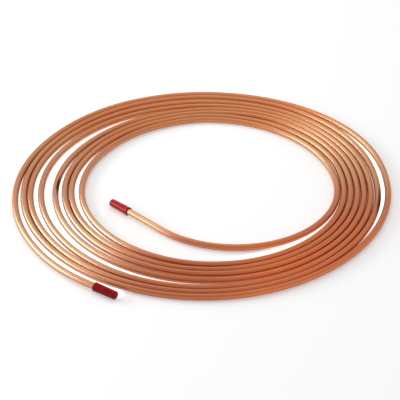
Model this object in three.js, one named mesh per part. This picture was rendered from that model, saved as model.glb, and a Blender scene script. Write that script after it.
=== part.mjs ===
// Coil of soft copper tube with a push-on plastic cap on each end.
// Millimetres, +Z up. The coil lies flat: one layer of turns on the floor at z = 0.
import * as THREE from 'three';

// ---- Tube ----
const tubeOuterDiameter = 8;
const tubeWall = 0.6;
const tubeSides = 8; // outer facets of the section; one lies flat below, one above
const boreSides = 8;

// ---- Turns, run counter-clockwise from the bore outwards; angles are in degrees ----
const boreRadius = 161.8; // centreline of the innermost turn, where it starts at +X
const turnClearance = 0.4; // between turns that lie against each other
const fullTurns = 7; // complete turns before the last, partial one
const lastTurnSweep = 236;
const stepAngle = 10; // every turn has its facets at the same angles

// The innermost turn is out of round: `out` is how far it stands off the true spiral.
const boreSways = [
  { opens: 1, widest: 89, closes: 113, out: 2.8 },
  { opens: 96, widest: 154, closes: 284, out: -6.5 },
  { opens: 235, widest: 263, closes: 323, out: 1 },
];

// Neighbouring turns touch except where they have sprung apart into a crescent of air.
// `turn` is the outer of the two turns, counted from 0 at the bore; `out` is the air at the widest.
const crescents = [
  { turn: 1, opens: 1, widest: 25, closes: 111, out: 2.2 },
  { turn: 1, opens: 91, widest: 184, closes: 338, out: 4.6 },
  { turn: 2, opens: 12, widest: 59, closes: 100, out: 4.2 },
  { turn: 3, opens: 78, widest: 240, closes: 349, out: 4.4 },
  { turn: 4, opens: 64, widest: 152, closes: 354, out: 10 },
  { turn: 4, opens: 205, widest: 250, closes: 332, out: 2.3 },
  { turn: 5, opens: 18, widest: 190, closes: 274, out: 4.9 },
  { turn: 6, opens: -28, widest: 101, closes: 158, out: 5.2 },
  { turn: 6, opens: 294, widest: 384, closes: 430, out: 5.8 },
  { turn: 7, opens: 153, widest: 270, closes: 420, out: 11 },
];

// ---- Loose ends ----
// The inner end leaves the bore turn on two bends in a row, each tighter in radius than the curve before it.
const tailBends = [
  { tighter: 26.8, sweep: 53 },
  { tighter: 5.7, sweep: 79.6 },
];
const tailStraight = 82.3; // straight run of the tail, up to the cut end
const outerStraight = 38.5;
const liftRun = 80; // length over which an end rises from the floor to its cap's axis

// ---- Caps ----
const capLength = 30.5;
const capWall = 0.7;
const capEndWall = 2;
const capClearance = 0.15; // between the tube's corners and the cap's bore
const capLipHeight = 0.25; // how far the rolled lip stands off the body
const capLipLength = 1.8;
const capTaper = 0.4; // fall in radius from the lip to the closed end
const capEndRound = 1.2;
const capSides = 16;
const capEndGap = 2.2; // air between the cut end of the tube and the cap's end wall

// ---- Derived sizes ----
const tubeRadius = tubeOuterDiameter / 2;
const tubeBoreRadius = tubeRadius - tubeWall;
const turnPitch = tubeOuterDiameter + turnClearance;
const tubeCornerRadius = tubeRadius / Math.cos(Math.PI / tubeSides);
const capBoreRadius = (tubeCornerRadius + capClearance) / Math.cos(Math.PI / capSides);
const capBodyRadius = capBoreRadius + capWall;
const capLipRadius = capBodyRadius + capLipHeight;
const capInsertion = capLength - capEndWall - capEndGap; // length of tube inside the cap

const radians = THREE.MathUtils.degToRad;

// Smooth rise from 0 to 1 and back to 0 over the angles of a crescent.
function crescentShape({ opens, widest, closes }, angle) {
  if (angle <= opens || angle >= closes) return 0;
  const part = angle < widest ? (angle - opens) / (widest - opens) : (closes - angle) / (closes - widest);
  return Math.sin(part * Math.PI / 2) ** 2;
}

// Centreline radius at an angle counted on from turn to turn: each turn lies on the one inside it.
function strandRadius(angle) {
  if (angle < 360) {
    const sway = boreSways.reduce((sum, s) => sum + s.out * crescentShape(s, angle), 0);
    return boreRadius + turnPitch * angle / 360 + sway;
  }
  const air = crescents.reduce((sum, c) => sum + c.out * crescentShape(c, angle - 360 * c.turn), 0);
  return strandRadius(angle - 360) + turnPitch + air;
}

// Height of the centreline: on the floor, but level with the cap's axis near a capped end.
function centreHeight(distanceToEnd) {
  const down = THREE.MathUtils.smoothstep(distanceToEnd, capInsertion, capInsertion + liftRun);
  return THREE.MathUtils.lerp(capLipRadius, tubeRadius, down);
}

function heading(angle) {
  return new THREE.Vector2(Math.cos(radians(angle)), Math.sin(radians(angle)));
}

function strandPoint(angle) {
  return heading(angle).multiplyScalar(strandRadius(angle));
}

// Points along the centreline of the whole tube, from the inner cut end to the outer one.
function tubeStations() {
  const stations = [];
  const add = (point, distanceToEnd) => {
    stations.push(new THREE.Vector3(point.x, point.y, centreHeight(distanceToEnd)));
  };

  // Inner tail, worked out from the bore turn at +X back to the cut end.
  const tail = [];
  const bendCentre = new THREE.Vector2();
  let [radius, angle, tailLength] = [boreRadius, 0, 0];
  for (const { tighter, sweep } of tailBends) {
    bendCentre.addScaledVector(heading(angle), tighter);
    radius -= tighter;
    const steps = Math.round(sweep / stepAngle);
    for (let i = 0; i < steps; i++) {
      angle -= sweep / steps;
      tailLength += radius * radians(sweep / steps);
      tail.push({ point: heading(angle).multiplyScalar(radius).add(bendCentre), fromBore: tailLength });
    }
  }
  const bendEnd = tail.at(-1).point;
  tailLength += tailStraight;
  for (const distance of [capInsertion + liftRun / 3, capInsertion, 0]) {
    const point = bendEnd.clone().addScaledVector(heading(angle - 90), tailStraight - distance);
    tail.push({ point, fromBore: tailLength - distance });
  }
  for (const { point, fromBore } of tail.reverse()) add(point, tailLength - fromBore);

  // The turns.
  const lastAngle = fullTurns * 360 + lastTurnSweep;
  const addStrand = (turned) => {
    add(strandPoint(turned), outerStraight + strandRadius(turned) * radians(lastAngle - turned));
  };
  for (let turned = 0; turned < lastAngle; turned += stepAngle) addStrand(turned);
  addStrand(lastAngle);

  // Outer end: straight on from the last turn.
  const lastPoint = strandPoint(lastAngle);
  const towardsEnd = heading(lastAngle + 90);
  for (const distance of [capInsertion, 0]) {
    add(lastPoint.clone().addScaledVector(towardsEnd, outerStraight - distance), distance);
  }
  return stations;
}

// A path that gives an extrusion one step from each station to the next.
class StationPath extends THREE.Curve {
  constructor(stations) {
    super();
    this.stations = stations;
  }

  getPoint(t) {
    const place = t * (this.stations.length - 1);
    const index = Math.min(Math.floor(place), this.stations.length - 2);
    return this.stations[index].clone().lerp(this.stations[index + 1], place - index);
  }

  getUtoTmapping(u) {
    return u;
  }

  // Upright frames, so the section's flats stay level all along.
  computeFrenetFrames(segments) {
    const up = new THREE.Vector3(0, 0, 1);
    const places = Array.from({ length: segments + 1 }, (_, i) => i / segments);
    const tangents = places.map((u) => this.getTangentAt(u));
    const binormals = tangents.map((tangent) => tangent.clone().cross(up).normalize());
    const normals = tangents.map((tangent, i) => binormals[i].clone().cross(tangent));
    return { tangents, normals, binormals };
  }
}

// Regular polygon whose flats are `apothem` from its centre, with a flat below and above.
function polygonPoints(sides, apothem) {
  const corner = apothem / Math.cos(Math.PI / sides);
  return Array.from({ length: sides }, (_, i) => {
    const angle = (i + 0.5) * 2 * Math.PI / sides;
    return new THREE.Vector2(corner * Math.cos(angle), corner * Math.sin(angle));
  });
}

const stations = tubeStations();

function copperTube() {
  const section = new THREE.Shape(polygonPoints(tubeSides, tubeRadius));
  section.holes.push(new THREE.Path(polygonPoints(boreSides, tubeBoreRadius)));
  const geometry = new THREE.ExtrudeGeometry(section, {
    steps: stations.length - 1,
    extrudePath: new StationPath(stations),
    bevelEnabled: false,
  });
  const material = new THREE.MeshStandardMaterial({ color: 0xc8784a, roughness: 0.28, metalness: 1 });
  const mesh = new THREE.Mesh(geometry, material);
  mesh.name = 'copper_tube';
  return mesh;
}

// A closed-end sleeve: its axis is +Y, its closed end at y = 0 and its mouth at y = capLength.
function endCap(name, color, tubeEnd, tubeInside) {
  const tipRadius = capBodyRadius - capTaper;
  const profile = [
    [0, 0],
    [tipRadius - capEndRound, 0],
    [tipRadius, capEndRound],
    [capBodyRadius, capLength - capLipLength],
    [capLipRadius, capLength - capLipLength + capLipHeight],
    [capLipRadius, capLength],
    [capBoreRadius, capLength],
    [capBoreRadius, capEndWall],
    [0, capEndWall],
  ].map(([x, y]) => new THREE.Vector2(x, y));
  const geometry = new THREE.LatheGeometry(profile, capSides);
  const material = new THREE.MeshStandardMaterial({ color, roughness: 0.35, metalness: 0 });
  const mesh = new THREE.Mesh(geometry, material);
  mesh.name = name;
  const axis = tubeInside.clone().sub(tubeEnd).normalize();
  mesh.quaternion.setFromUnitVectors(new THREE.Vector3(0, 1, 0), axis);
  mesh.position.copy(tubeEnd).addScaledVector(axis, capInsertion - capLength);
  return mesh;
}

const coil = new THREE.Group();
coil.add(copperTube());
coil.add(endCap('inner_end_cap', 0xb82a34, stations[0], stations[1]));
coil.add(endCap('outer_end_cap', 0x9c1622, stations.at(-1), stations.at(-2)));

// The origin is at the middle of the coil's outline, on the floor.
const outline = new THREE.Box3().setFromObject(coil, true);
coil.position.set(-(outline.min.x + outline.max.x) / 2, -(outline.min.y + outline.max.y) / 2, 0);

export default coil;
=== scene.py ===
"""Coil of bright soft copper tube with a red push-on cap on each end, dressed over its solids."""

from math import cos, hypot, pi, radians, sin

import bpy
from mathutils import Matrix, Vector


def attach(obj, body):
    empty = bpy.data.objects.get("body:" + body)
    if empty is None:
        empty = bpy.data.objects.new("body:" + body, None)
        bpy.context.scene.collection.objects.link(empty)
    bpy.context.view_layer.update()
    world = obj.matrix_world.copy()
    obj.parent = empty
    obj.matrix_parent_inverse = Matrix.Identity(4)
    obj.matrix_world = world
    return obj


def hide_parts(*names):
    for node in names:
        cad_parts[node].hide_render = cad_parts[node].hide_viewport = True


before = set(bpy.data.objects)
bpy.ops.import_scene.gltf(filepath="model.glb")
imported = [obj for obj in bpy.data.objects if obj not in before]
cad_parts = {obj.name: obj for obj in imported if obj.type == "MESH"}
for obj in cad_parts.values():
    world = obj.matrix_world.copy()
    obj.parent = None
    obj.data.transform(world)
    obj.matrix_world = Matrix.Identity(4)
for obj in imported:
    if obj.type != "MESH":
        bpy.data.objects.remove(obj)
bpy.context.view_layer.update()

MM = 0.001

# ---- The coil's own sizes, in millimetres and degrees; the same values as the solids have ----
TUBE_RADIUS = 4.0
TUBE_WALL = 0.6
BORE_TURN_RADIUS = 161.8
TURN_PITCH = 8.4
TURNED_IN_ALL = 7 * 360 + 236
TAIL_BENDS = ((26.8, 53.0), (5.7, 79.6))  # how much tighter than the curve before, sweep
TAIL_STRAIGHT = 82.3
OUTER_STRAIGHT = 38.5
LIFT_RUN = 80.0  # length over which an end rises from the floor to its cap's axis

# The bore turn is out of round: opens, widest, closes, how far it stands off the spiral.
BORE_SWAYS = ((1, 89, 113, 2.8), (96, 154, 284, -6.5), (235, 263, 323, 1.0))

# Air between a turn, counted from 0 at the bore, and the one inside it: opens, widest, closes,
# how wide.
CRESCENTS = {
    1: ((1, 25, 111, 2.2), (91, 184, 338, 4.6)),
    2: ((12, 59, 100, 4.2),),
    3: ((78, 240, 349, 4.4),),
    4: ((64, 152, 354, 10.0), (205, 250, 332, 2.3)),
    5: ((18, 190, 274, 4.9),),
    6: ((-28, 101, 158, 5.2), (294, 384, 430, 5.8)),
    7: ((153, 270, 420, 11.0),),
}

CAP_LENGTH = 30.5
CAP_END_WALL = 2.0
CAP_END_GAP = 2.2  # air between the cut end of the tube and the cap's end wall
CAP_INSERTION = CAP_LENGTH - CAP_END_WALL - CAP_END_GAP
CAP_BORE_RADIUS = 4.568
CAP_LIP_RADIUS = 5.518

# ---- Sizes of the dressed pieces alone, in millimetres where no other unit is named ----
# From the middle of the spiral to the middle of the outline.
COIL_SHIFT = Vector((8.1624, -2.0177, 0.0))
# The solids' long facets cut the curve's corners, so the true curve comes in by a thousandth.
DRAWN_IN = 0.9989

# Rings of a cap: distance from its closed end, radius.
CAP_CLOSED_END = (
    (0.0, 1.6), (0.02, 2.9), (0.1, 3.7), (0.34, 4.32), (0.78, 4.68), (1.35, 4.84), (2.2, 4.89),
)
CAP_BODY = ((9.0, 5.02), (18.0, 5.16), (26.2, 5.26), (28.35, 5.27))
CAP_ROLLED_LIP = (
    (28.7, 5.34), (29.0, 5.46), (29.4, 5.512), (29.8, 5.5), (30.15, 5.42), (30.38, 5.28),
    (CAP_LENGTH, 5.05), (CAP_LENGTH, 4.6), (30.42, 4.3), (30.2, 4.12), (29.7, 4.07), (28.6, 4.07),
)
CAP_BORE = (
    (27.4, CAP_BORE_RADIUS), (16.0, CAP_BORE_RADIUS), (3.2, CAP_BORE_RADIUS),
    (2.4, 4.3), (CAP_END_WALL, 3.6), (CAP_END_WALL, 1.6),
)

# How finely the pieces are drawn.
TUBE_SIDES = 32
TUBE_STEPS = 1200
CAP_SIDES = 48
TURN_STEP = 1.5  # degrees between points on the centreline's curves
TAIL_STEPS = 21
OUTER_STEPS = 10
SMOOTH_BELOW = radians(50)  # edges that turn more than this stay crisp
TUBE_WELD = 0.00002  # metres; points nearer than this become one
CAP_WELD = 0.000001

# ---- Looks ----
# Painted highlights and shade on the copper: centre and reach in metres, how strong, colour.
PAINTED_LIGHT_PATCHES = (
    ((0.110, -0.200, 0), 0.27, 0.95, "#e87a34"),
    ((-0.195, 0.040, 0), 0.13, 0.50, "#e2a87c"),
    ((-0.165, -0.132, 0), 0.17, 1.00, "#e2b088"),
    ((0.194, 0.090, 0), 0.15, 0.88, "#e6ae7a"),
    ((-0.035, -0.203, 0), 0.13, 0.75, "#bc5e24"),
    ((-0.085, -0.070, 0), 0.08, 0.75, "#eebc90"),
)
PATCH_HEART = 0.03  # metres from its centre within which a patch is at its strongest

# Smudges of oxide: degrees turned from the start of the bore turn, towards the bore and up as
# shares of the tube's radius, half-length and half-width in millimetres, how dark.
SMUDGES = (
    (3 * 360 + 182, 0.76, 0.60, 30.0, 4.2, 1.0),
    (5 * 360 + 352, -0.80, 0.55, 44.0, 4.6, 0.98),
    (1 * 360 + 264, -0.92, 0.35, 5.0, 2.4, 0.50),
    (7 * 360 + 200, -0.30, 0.90, 1.8, 1.5, 0.60),
)

# Waves a metre, along the piece and then across it.
DRAW_LINES = (17.0, 2800.0, 2800.0)  # 60 mm long and 0.35 mm apart
HANDLING = (11.0, 90.0, 90.0)  # drifts over 90 mm of tube
VINYL_SKIN = (120.0, 220.0, 220.0)  # 8 mm long and 4.5 mm across

SHUT_IN_WITHIN = 0.02  # metres; how near the metal has to be to shut in a spot of floor
FLOOR_SIZE = 120  # metres
FLOOR_DROP = 0.0001  # metres; the floor lies a hair below the coil, so that no faces coincide


# ---- The centreline of the tube ----
def heading(angle):
    return Vector((cos(radians(angle)), sin(radians(angle)), 0.0))


def crescent_shape(opens, widest, closes, angle):
    """Smooth rise from 0 to 1 and back to 0 over the angles of a crescent."""
    if angle <= opens or angle >= closes:
        return 0.0
    if angle < widest:
        part = (angle - opens) / (widest - opens)
    else:
        part = (closes - angle) / (closes - widest)
    return sin(part * pi / 2) ** 2


def strand_radius(angle):
    """Each turn lies on the one inside it, but for the crescents where it has sprung away."""
    if angle < 360:
        sway = sum(out * crescent_shape(o, w, c, angle) for o, w, c, out in BORE_SWAYS)
        return BORE_TURN_RADIUS + TURN_PITCH * angle / 360 + sway
    air = sum(
        out * crescent_shape(o, w, c, angle - 360 * turn)
        for turn, spread in CRESCENTS.items()
        for o, w, c, out in spread
    )
    return strand_radius(angle - 360) + TURN_PITCH + air


def strand_point(angle):
    return heading(angle) * strand_radius(angle)


def centre_height(distance_to_end):
    """On the floor, but level with the cap's axis near a capped end."""
    part = min(max((distance_to_end - CAP_INSERTION) / LIFT_RUN, 0.0), 1.0)
    return CAP_LIP_RADIUS + (TUBE_RADIUS - CAP_LIP_RADIUS) * part * part * (3 - 2 * part)


def centreline():
    """Points from the inner cut end to the outer one, and how far along the tube each is."""
    tail = []
    centre, radius, angle = Vector((0.0, 0.0, 0.0)), BORE_TURN_RADIUS, 0.0
    for tighter, sweep in TAIL_BENDS:
        centre = centre + heading(angle) * tighter
        radius -= tighter
        steps = round(sweep / TURN_STEP)
        for _ in range(steps):
            angle -= sweep / steps
            tail.append(centre + heading(angle) * radius)
    straight = heading(angle - 90)
    for _ in range(TAIL_STEPS):
        tail.append(tail[-1] + straight * (TAIL_STRAIGHT / TAIL_STEPS))

    flat = tail[::-1]
    turn_steps = int(TURNED_IN_ALL / TURN_STEP)
    flat += [strand_point(i * TURNED_IN_ALL / turn_steps) for i in range(turn_steps + 1)]
    straight = heading(TURNED_IN_ALL + 90)
    for _ in range(OUTER_STEPS):
        flat.append(flat[-1] + straight * (OUTER_STRAIGHT / OUTER_STEPS))

    run = [0.0]
    for a, b in zip(flat, flat[1:]):
        run.append(run[-1] + (b - a).length)
    points = []
    for p, along in zip(flat, run):
        z = centre_height(min(along, run[-1] - along))
        points.append((p + COIL_SHIFT) * DRAWN_IN + Vector((0.0, 0.0, z)))
    return points, run


PATH, RUN = centreline()
TUBE_LENGTH = RUN[-1]


def distance_along(turned):
    """How far from the inner cut end the tube is when its turns have come to an angle."""
    place = (strand_point(turned) + COIL_SHIFT) * DRAWN_IN
    return min(zip(PATH, RUN), key=lambda at: hypot(at[0].x - place.x, at[0].y - place.y))[1]


# ---- Modelling by hand ----
def deselect_all():
    if bpy.context.object and bpy.context.object.mode != "OBJECT":
        bpy.ops.object.mode_set(mode="OBJECT")
    bpy.ops.object.select_all(action="DESELECT")


def only(obj):
    deselect_all()
    obj.select_set(True)
    bpy.context.view_layer.objects.active = obj


def apply_place():
    bpy.ops.object.transform_apply(location=True, rotation=True, scale=True)


def apply_modifiers(obj):
    only(obj)
    for modifier in list(obj.modifiers):
        bpy.ops.object.modifier_apply(modifier=modifier.name)


def start_ring(name, sides, radius, fill):
    """A circle round the X axis, left selected in edit mode for a piece to be drawn out of it."""
    deselect_all()
    bpy.ops.mesh.primitive_circle_add(
        vertices=sides, radius=radius * MM, fill_type=fill,
        location=(0, 0, 0), rotation=(0, radians(90), 0),
    )
    ring = bpy.context.object
    ring.name = name
    apply_place()
    bpy.ops.object.mode_set(mode="EDIT")
    bpy.ops.mesh.select_all(action="SELECT")
    return ring


def keep_straight_place(mesh):
    """Keeps every point's place on the straight piece, so that its patterns follow the bends."""
    place = mesh.attributes.new("drawn_place", "FLOAT_VECTOR", "POINT")
    values = [0.0] * (3 * len(mesh.vertices))
    mesh.vertices.foreach_get("co", values)
    place.data.foreach_set("vector", values)


def copper_tube():
    """A straight length is drawn, given its wall and bent along the coil's centreline."""
    tube = start_ring("bright_copper_tube", TUBE_SIDES, TUBE_RADIUS, "NOTHING")
    pace = TUBE_LENGTH / TUBE_STEPS * MM
    bpy.ops.mesh.extrude_region_move(TRANSFORM_OT_translate={"value": (pace, 0, 0)})
    bpy.ops.mesh.select_all(action="SELECT")
    bpy.ops.mesh.normals_make_consistent(inside=False)
    bpy.ops.object.mode_set(mode="OBJECT")

    length = tube.modifiers.new("length", "ARRAY")
    length.count = TUBE_STEPS
    length.use_relative_offset = False
    length.use_constant_offset = True
    length.constant_offset_displace = (pace, 0, 0)
    length.use_merge_vertices = True
    length.merge_threshold = TUBE_WELD
    wall = tube.modifiers.new("wall", "SOLIDIFY")
    wall.thickness = TUBE_WALL * MM
    wall.offset = -1
    apply_modifiers(tube)
    keep_straight_place(tube.data)

    bpy.ops.curve.primitive_nurbs_path_add(location=(0, 0, 0))
    former = bpy.context.object
    former.data.splines.clear()
    line = former.data.splines.new("POLY")
    line.points.add(len(PATH) - 1)
    for place, p in zip(line.points, PATH):
        place.co = (p.x * MM, p.y * MM, p.z * MM, 1.0)
    former.data.twist_mode = "Z_UP"
    former.data.use_path = True
    former.data.use_stretch = True
    former.data.use_deform_bounds = True
    bend = tube.modifiers.new("bend", "CURVE")
    bend.object = former
    bend.deform_axis = "POS_X"
    apply_modifiers(tube)
    bpy.data.objects.remove(former)
    only(tube)
    bpy.ops.object.shade_smooth_by_angle(angle=SMOOTH_BELOW)
    return tube


def end_cap(name, cut_end, inside):
    """A closed-end sleeve, drawn ring by ring from its closed end at x = 0, over its rolled lip
    and back down its bore, then pushed on; `inside` is a point on the tube's axis in the cap."""
    (x, r), *more_rings = CAP_CLOSED_END + CAP_BODY + CAP_ROLLED_LIP + CAP_BORE
    cap = start_ring(name, CAP_SIDES, r, "NGON")
    bpy.ops.mesh.select_mode(type="EDGE")
    bpy.ops.mesh.poke()
    bpy.ops.mesh.select_all(action="DESELECT")
    bpy.ops.mesh.select_non_manifold()
    for next_x, next_r in more_rings:
        step = (next_x - x) * MM
        bpy.ops.mesh.extrude_region_move(TRANSFORM_OT_translate={"value": (step, 0, 0)})
        grow = next_r / r
        bpy.ops.transform.resize(value=(1, grow, grow), center_override=(next_x * MM, 0, 0))
        x, r = next_x, next_r
    bpy.ops.mesh.extrude_region_move(TRANSFORM_OT_translate={"value": (0, 0, 0)})
    bpy.ops.mesh.merge(type="CENTER")
    bpy.ops.mesh.select_all(action="SELECT")
    bpy.ops.mesh.remove_doubles(threshold=CAP_WELD)
    bpy.ops.mesh.normals_make_consistent(inside=False)
    bpy.ops.object.mode_set(mode="OBJECT")
    keep_straight_place(cap.data)

    axis = (inside - cut_end).normalized()
    turn = axis.to_track_quat("X", "Z")
    closed_end = cut_end - axis * (CAP_END_WALL + CAP_END_GAP)
    cap.matrix_world = Matrix.Translation(closed_end * MM) @ turn.to_matrix().to_4x4()
    only(cap)
    apply_place()
    bpy.ops.object.shade_smooth_by_angle(angle=SMOOTH_BELOW)
    return cap


# ---- Materials ----
def from_hex(code):
    """An sRGB colour written as #rrggbb, turned to the linear values that the shader takes."""
    parts = [int(code[i:i + 2], 16) / 255 for i in (1, 3, 5)]
    linear = [c / 12.92 if c <= 0.04045 else ((c + 0.055) / 1.055) ** 2.4 for c in parts]
    return (*linear, 1.0)


def new_material(name):
    material = bpy.data.materials.new(name)
    material.use_nodes = True
    material.node_tree.nodes.clear()
    return material, material.node_tree


def node(tree, kind, settings=None, **links):
    """Adds one node, sets its properties, and sets or links its inputs: by name, with spaces
    written as _, or by number, as i0."""
    made = tree.nodes.new(kind)
    for key, value in (settings or {}).items():
        setattr(made, key, value)
    for key, value in links.items():
        by_number = key[0] == "i" and key[1:].isdigit()
        slot = int(key[1:]) if by_number else key.replace("_", " ")
        if isinstance(value, bpy.types.NodeSocket):
            tree.links.new(value, made.inputs[slot])
        else:
            made.inputs[slot].default_value = value
    return made


def bright_drawn_copper():
    """Soft copper, drawn bright through a die and annealed: a clean satin metal that mirrors its
    surroundings softly, with hair-fine lines along the tube, slow drifts of tone, and patches of
    painted highlight and painted shade."""
    material, tree = new_material("bright_drawn_copper")
    drawn = node(tree, "ShaderNodeAttribute", {"attribute_name": "drawn_place"}).outputs["Vector"]

    # The die left lines along the tube, and handling left a slow drift of tone.
    lines_at = node(tree, "ShaderNodeMapping", Vector=drawn, Scale=DRAW_LINES)
    lines = node(
        tree, "ShaderNodeTexNoise",
        Vector=lines_at.outputs["Vector"], Scale=1.0, Detail=2.0, Roughness=0.55,
    ).outputs["Fac"]
    drift_at = node(tree, "ShaderNodeMapping", Vector=drawn, Scale=HANDLING)
    drift = node(
        tree, "ShaderNodeTexNoise",
        Vector=drift_at.outputs["Vector"], Scale=1.0, Detail=3.0, Roughness=0.6,
    ).outputs["Fac"]

    # Patches of painted light round the coil: the paler, pinker and yellower ones are painted
    # highlights where the lamps shine in the metal, the deeper ones are painted shade at the
    # front.
    place = node(tree, "ShaderNodeTexCoord").outputs["Object"]
    colour = from_hex("#da8443")
    for centre, reach, strongest, tone in PAINTED_LIGHT_PATCHES:
        away = node(tree, "ShaderNodeVectorMath", {"operation": "DISTANCE"}, i0=place, i1=centre)
        share = node(
            tree, "ShaderNodeMapRange", {"interpolation_type": "SMOOTHSTEP"},
            Value=away.outputs["Value"],
            From_Min=reach, From_Max=PATCH_HEART, To_Min=0.0, To_Max=strongest,
        )
        colour = node(
            tree, "ShaderNodeMix", {"data_type": "RGBA"},
            i0=share.outputs["Result"], i6=colour, i7=from_hex(tone),
        ).outputs[2]

    # Faint tarnish dulls it where the drift is strong, and the draw lines are darker in their
    # bottoms.
    tarnish = node(
        tree, "ShaderNodeMapRange",
        Value=drift, From_Min=0.42, From_Max=0.72, To_Min=0.0, To_Max=0.35,
    )
    colour = node(
        tree, "ShaderNodeMix", {"data_type": "RGBA"},
        i0=tarnish.outputs["Result"], i6=colour, i7=from_hex("#c07a5c"),
    ).outputs[2]
    dull = node(
        tree, "ShaderNodeMapRange",
        Value=lines, From_Min=0.35, From_Max=0.6, To_Min=0.35, To_Max=0.0,
    )
    colour = node(
        tree, "ShaderNodeMix", {"data_type": "RGBA", "blend_type": "MULTIPLY"},
        i0=dull.outputs["Result"], i6=colour, i7=from_hex("#e9e2dc"),
    ).outputs[2]

    # Smudges of dark oxide, each a soft-edged patch on one side of the tube.
    oxide = 0.0
    for turned, inwards, up, half_length, half_width, strongest in SMUDGES:
        along = distance_along(turned) * MM
        away = node(
            tree, "ShaderNodeVectorMath", {"operation": "SUBTRACT"},
            i0=drawn, i1=(along, inwards * TUBE_RADIUS * MM, up * TUBE_RADIUS * MM),
        )
        size = (1 / (half_length * MM), 1 / (half_width * MM), 1 / (half_width * MM))
        away = node(
            tree, "ShaderNodeVectorMath", {"operation": "MULTIPLY"}, i0=away.outputs[0], i1=size,
        )
        away = node(tree, "ShaderNodeVectorMath", {"operation": "LENGTH"}, i0=away.outputs[0])
        smudge = node(
            tree, "ShaderNodeMapRange", {"interpolation_type": "SMOOTHSTEP"},
            Value=away.outputs["Value"],
            From_Min=1.0, From_Max=0.3, To_Min=0.0, To_Max=strongest,
        )
        oxide = node(
            tree, "ShaderNodeMath", {"operation": "MAXIMUM"},
            i0=oxide, i1=smudge.outputs["Result"],
        ).outputs[0]
    colour = node(
        tree, "ShaderNodeMix", {"data_type": "RGBA"},
        i0=oxide, i6=colour, i7=from_hex("#5e2c10"),
    ).outputs[2]

    # Oxide is rougher than the bright metal and has hardly any of its clear sheen.
    rough = node(
        tree, "ShaderNodeMapRange",
        Value=drift, From_Min=0.3, From_Max=0.75, To_Min=0.42, To_Max=0.36,
    )
    rough = node(
        tree, "ShaderNodeMath", {"operation": "MULTIPLY_ADD"},
        i0=oxide, i1=0.2, i2=rough.outputs["Result"],
    )
    sheen = node(tree, "ShaderNodeMapRange", Value=oxide, To_Min=1.0, To_Max=0.15)
    bump = node(tree, "ShaderNodeBump", Strength=0.04, Distance=0.00004, Height=lines)
    shader = node(
        tree, "ShaderNodeBsdfPrincipled",
        Base_Color=colour, Metallic=1.0, Specular_Tint=from_hex("#a06a48"),
        Roughness=rough.outputs[0], Normal=bump.outputs["Normal"],
        Coat_Weight=sheen.outputs["Result"], Coat_Roughness=0.25, Coat_IOR=1.55,
    )
    node(tree, "ShaderNodeOutputMaterial", Surface=shader.outputs["BSDF"])
    return material


def dipped_red_vinyl(name, body, shade, gloss, roughness):
    """Soft PVC, dip-moulded: a glossy red skin, slightly wavy, a shade darker in its hollows."""
    material, tree = new_material(name)
    drawn = node(tree, "ShaderNodeAttribute", {"attribute_name": "drawn_place"}).outputs["Vector"]
    skin_at = node(tree, "ShaderNodeMapping", Vector=drawn, Scale=VINYL_SKIN)
    skin = node(
        tree, "ShaderNodeTexNoise", Vector=skin_at.outputs["Vector"], Scale=1.0, Detail=2.0,
    ).outputs["Fac"]
    raised = node(tree, "ShaderNodeMapRange", Value=skin, From_Min=0.35, From_Max=0.65)
    colour = node(
        tree, "ShaderNodeMix", {"data_type": "RGBA"},
        i0=raised.outputs["Result"], i6=from_hex(shade), i7=from_hex(body),
    )
    bump = node(tree, "ShaderNodeBump", Strength=0.25, Distance=0.0002, Height=skin)
    shader = node(
        tree, "ShaderNodeBsdfPrincipled",
        Base_Color=colour.outputs[2], Roughness=roughness, IOR=1.45,
        Specular_IOR_Level=gloss, Normal=bump.outputs["Normal"],
    )
    node(tree, "ShaderNodeOutputMaterial", Surface=shader.outputs["BSDF"])
    return material


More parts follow.
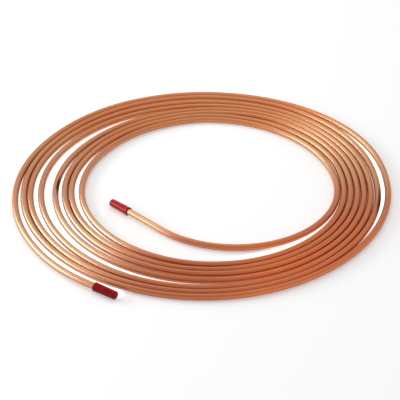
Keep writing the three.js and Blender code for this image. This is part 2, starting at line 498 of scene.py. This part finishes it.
def white_floor_paper():
    """Matt white studio paper: it shows white to the eye and in the metal, and keeps the coil's
    soft shadow; a painted glow lights it most between turns, and in the seams between turns that
    touch it is painted dark in the copper's colour."""
    material, tree = new_material("white_floor_paper")
    path = node(tree, "ShaderNodeLightPath").outputs
    seen = node(
        tree, "ShaderNodeMath", {"operation": "MAXIMUM"},
        i0=path["Is Camera Ray"], i1=path["Is Glossy Ray"],
    )
    seen = node(
        tree, "ShaderNodeMath", {"operation": "MAXIMUM"},
        i0=seen.outputs[0], i1=path["Is Transmission Ray"],
    )

    # In a seam, with hardly any open sky over it, the paper is painted the copper's colour:
    # painted shade and painted copper bounce light.
    open_sky = node(
        tree, "ShaderNodeAmbientOcclusion", {"samples": 16}, Distance=SHUT_IN_WITHIN,
    ).outputs["AO"]
    painted_seam_tint = node(
        tree, "ShaderNodeMapRange", {"interpolation_type": "SMOOTHSTEP"},
        Value=open_sky, From_Min=0.045, From_Max=0.12,
    )
    painted_seam_tint = node(
        tree, "ShaderNodeMix", {"data_type": "RGBA"},
        i0=painted_seam_tint.outputs["Result"], i6=from_hex("#cc7840"), i7=from_hex("#f7f7f7"),
    )
    paper = node(tree, "ShaderNodeBsdfDiffuse", Color=painted_seam_tint.outputs[2])

    # Between two turns the paper is shut in towards the bore and away from it; elsewhere one
    # side is open.
    place = node(tree, "ShaderNodeTexCoord").outputs["Object"]
    middle = COIL_SHIFT * MM
    outwards = node(
        tree, "ShaderNodeVectorMath", {"operation": "SUBTRACT"}, i0=place, i1=middle,
    ).outputs[0]
    inwards = node(
        tree, "ShaderNodeVectorMath", {"operation": "SUBTRACT"}, i0=middle, i1=place,
    ).outputs[0]
    open_side = 0.0
    for facing in (outwards, inwards):
        facing = node(tree, "ShaderNodeVectorMath", {"operation": "NORMALIZE"}, i0=facing)
        side = node(
            tree, "ShaderNodeAmbientOcclusion", {"samples": 16},
            Distance=SHUT_IN_WITHIN, Normal=facing.outputs[0],
        )
        open_side = node(
            tree, "ShaderNodeMath", {"operation": "MAXIMUM"}, i0=open_side, i1=side.outputs["AO"],
        ).outputs[0]

    # A little glow on the open floor; much more between turns, fading where they close up, and
    # less of it in the metal than to the eye.
    in_gap = node(tree, "ShaderNodeMapRange", Value=path["Is Camera Ray"], To_Min=0.5, To_Max=0.9)
    gap = node(
        tree, "ShaderNodeMapRange", {"interpolation_type": "SMOOTHSTEP"},
        Value=open_sky,
        From_Min=-0.02, From_Max=0.08, To_Min=0.0, To_Max=in_gap.outputs["Result"],
    )
    glow = node(
        tree, "ShaderNodeMapRange", {"interpolation_type": "SMOOTHSTEP"},
        Value=open_side,
        From_Min=0.75, From_Max=0.92, To_Min=gap.outputs["Result"], To_Max=0.2,
    )
    glow = node(
        tree, "ShaderNodeMath", {"operation": "MULTIPLY"},
        i0=seen.outputs[0], i1=glow.outputs["Result"],
    )
    white = node(tree, "ShaderNodeEmission", Color=painted_seam_tint.outputs[2], Strength=glow.outputs[0])
    both = node(tree, "ShaderNodeAddShader", i0=paper.outputs[0], i1=white.outputs[0])
    node(tree, "ShaderNodeOutputMaterial", Surface=both.outputs[0])
    return material


# ---- Studio ----
def add_camera():
    elevation, roll = radians(33.5), radians(0.5)
    distance = 1788.5 * MM
    target = Vector((-3.09, -28.02, 0)) * MM
    bpy.ops.object.camera_add()
    camera = bpy.context.object
    camera.location = target + Vector((0, -cos(elevation), sin(elevation))) * distance
    tilt = Matrix.Rotation(pi / 2 - elevation, 3, "X") @ Matrix.Rotation(roll, 3, "Z")
    camera.rotation_euler = tilt.to_euler()
    camera.data.sensor_width = 36.0
    camera.data.lens = 128.8
    camera.data.clip_end = 20.0
    bpy.context.scene.camera = camera


def add_floor():
    deselect_all()
    bpy.ops.mesh.primitive_plane_add(size=FLOOR_SIZE, location=(0, 0, -FLOOR_DROP))
    floor = bpy.context.object
    floor.name = "white_floor"
    floor.data.materials.append(white_floor_paper())


def add_softbox(name, azimuth, elevation, distance, width, height, power):
    """A large lamp that faces the middle of the coil; azimuth is seen from above, 0 at +X."""
    a, e = radians(azimuth), radians(elevation)
    away = Vector((cos(a) * cos(e), sin(a) * cos(e), sin(e)))
    bpy.ops.object.light_add(type="AREA", location=away * distance)
    lamp = bpy.context.object
    lamp.name = name
    lamp.rotation_euler = away.to_track_quat("Z", "Y").to_euler()
    lamp.data.shape = "RECTANGLE"
    lamp.data.size, lamp.data.size_y = width, height
    lamp.data.energy = power


def add_world():
    world = bpy.data.worlds.new("studio")
    bpy.context.scene.world = world
    world.use_nodes = True
    tree = world.node_tree
    tree.nodes.clear()
    grey = node(tree, "ShaderNodeBackground", Color=(1.0, 1.0, 1.0, 1.0), Strength=0.66)
    node(tree, "ShaderNodeOutputWorld", Surface=grey.outputs[0])


bpy.context.scene.view_settings.view_transform = "Standard"
add_camera()
add_world()
add_softbox(
    "left_softbox", azimuth=170, elevation=20, distance=1.7, width=1.7, height=0.6, power=15.5,
)
add_softbox(
    "back_softbox", azimuth=112, elevation=57, distance=1.7, width=1.3, height=0.9, power=3.0,
)

tube = copper_tube()
tube.data.materials.append(bright_drawn_copper())
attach(tube, "root")
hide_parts("copper_tube")

# Name, node, cut end and a point inside it; then the vinyl's body, shade, gloss and roughness.
for name, node_name, cut_end, inside, *skin in (
    ("inner_red_cap", "inner_end_cap", PATH[0], PATH[3], "#bb1a16", "#9c110d", 0.3, 0.2),
    ("outer_red_cap", "outer_end_cap", PATH[-1], PATH[-4], "#94080f", "#74050a", 0.12, 0.3),
):
    cap = end_cap(name, cut_end, inside)
    cap.data.materials.append(dipped_red_vinyl(f"dipped_vinyl_{name}", *skin))
    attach(cap, "root")
    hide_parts(node_name)

add_floor()
